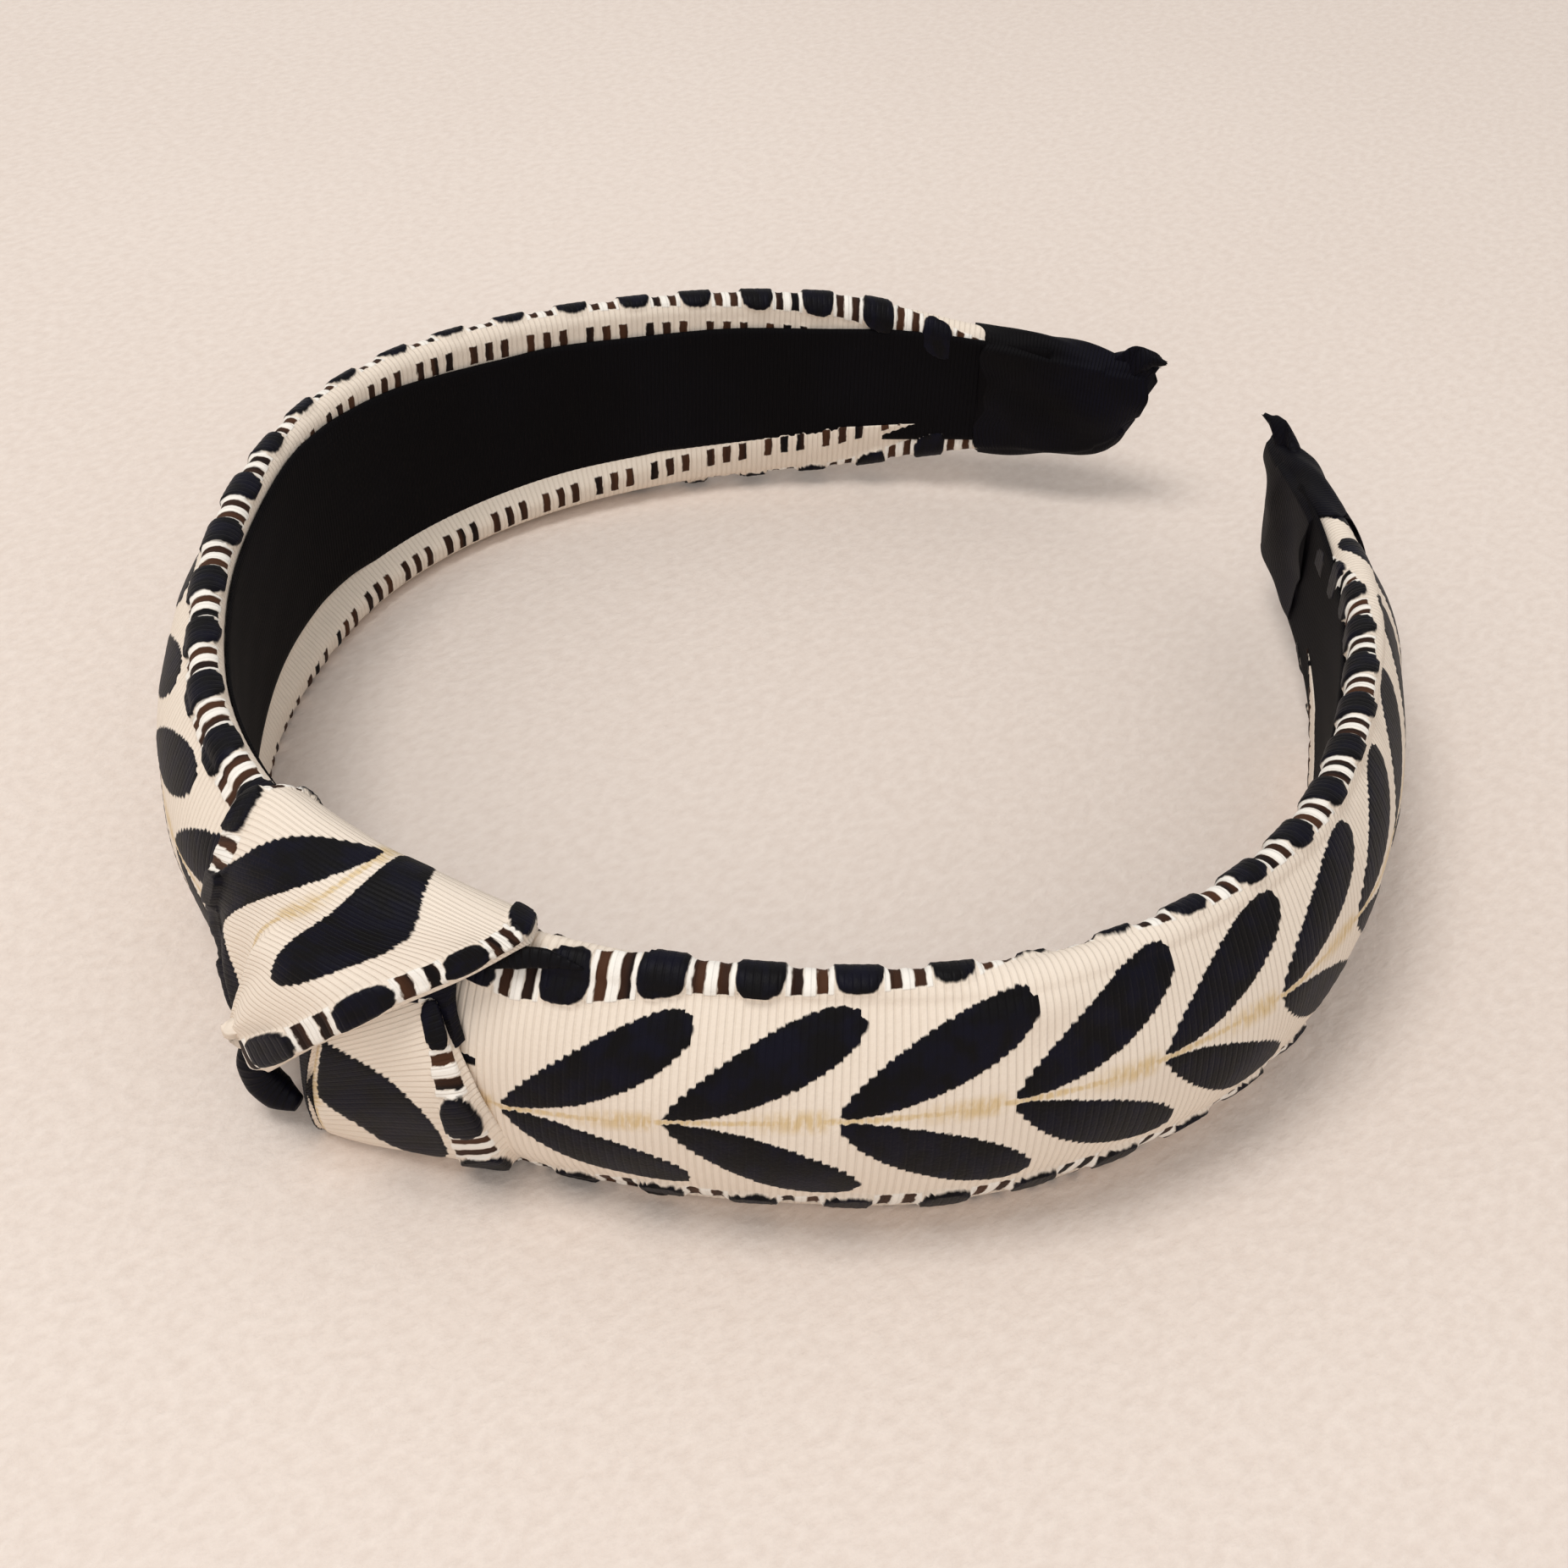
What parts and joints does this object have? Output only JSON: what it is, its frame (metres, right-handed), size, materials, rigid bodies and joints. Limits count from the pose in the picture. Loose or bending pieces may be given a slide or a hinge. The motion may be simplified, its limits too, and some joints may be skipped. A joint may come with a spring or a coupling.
{
  "type": "knotted headband",
  "caption": "Padded C-shaped headband covered in a woven leaf-pattern ribbon tied in a flat knot near the crown, with a dark lining and wrapped ends.",
  "frame": {"origin": "under the middle of the object's bounding box, on the plane its lower edge rests on", "axes": "+Z across the band's width, up from the resting edge; -Y towards the crown and the knot, +Y towards the open ends; +X towards the wearer's arm of the band nearer the knot"},
  "size_m": [0.1424, 0.1528, 0.0343],
  "materials": {
    "woven_ribbon": "ribbed woven ribbon, cream ground with navy leaves and a gold thread line",
    "lining_ribbon": "plain navy ribbon with a slight sheen",
    "end_wrap_fabric": "navy fabric, cut edges left raw",
    "foam": "soft white foam",
    "core_strip": "flexible moulded strip"
  },
  "bodies": {
    "crown": {"core_crown": "core_strip", "pad_crown": "foam", "lining_crown": "lining_ribbon", "cover_crown_left": "woven_ribbon", "cover_crown_right": "woven_ribbon", "knot_wrap": "woven_ribbon", "knot_tuck": "woven_ribbon", "knot_crossing": "woven_ribbon", "knot_corner_roll": "woven_ribbon", "knot_back_fold": "woven_ribbon"},
    "left_arm": {"core_left": "core_strip", "pad_left": "foam", "lining_left": "lining_ribbon", "cover_left": "woven_ribbon", "end_wrap_left": "end_wrap_fabric"},
    "right_arm": {"core_right": "core_strip", "pad_right": "foam", "lining_right": "lining_ribbon", "cover_right": "woven_ribbon", "end_wrap_right": "end_wrap_fabric"}
  },
  "joints": [
    {"name": "right_arm_flex", "type": "hinge", "parent": "crown", "child": "right_arm", "pos_m": [0.03728, -0.06119, 0.015], "axis": [0, 0, -1], "range_deg": [-3, 25], "stiffness_Nm_per_rad": 0.6},
    {"name": "left_arm_flex", "type": "hinge", "parent": "crown", "child": "left_arm", "pos_m": [-0.03728, -0.06119, 0.015], "axis": [0, 0, 1], "range_deg": [-3, 25], "stiffness_Nm_per_rad": 0.6}
  ]
}
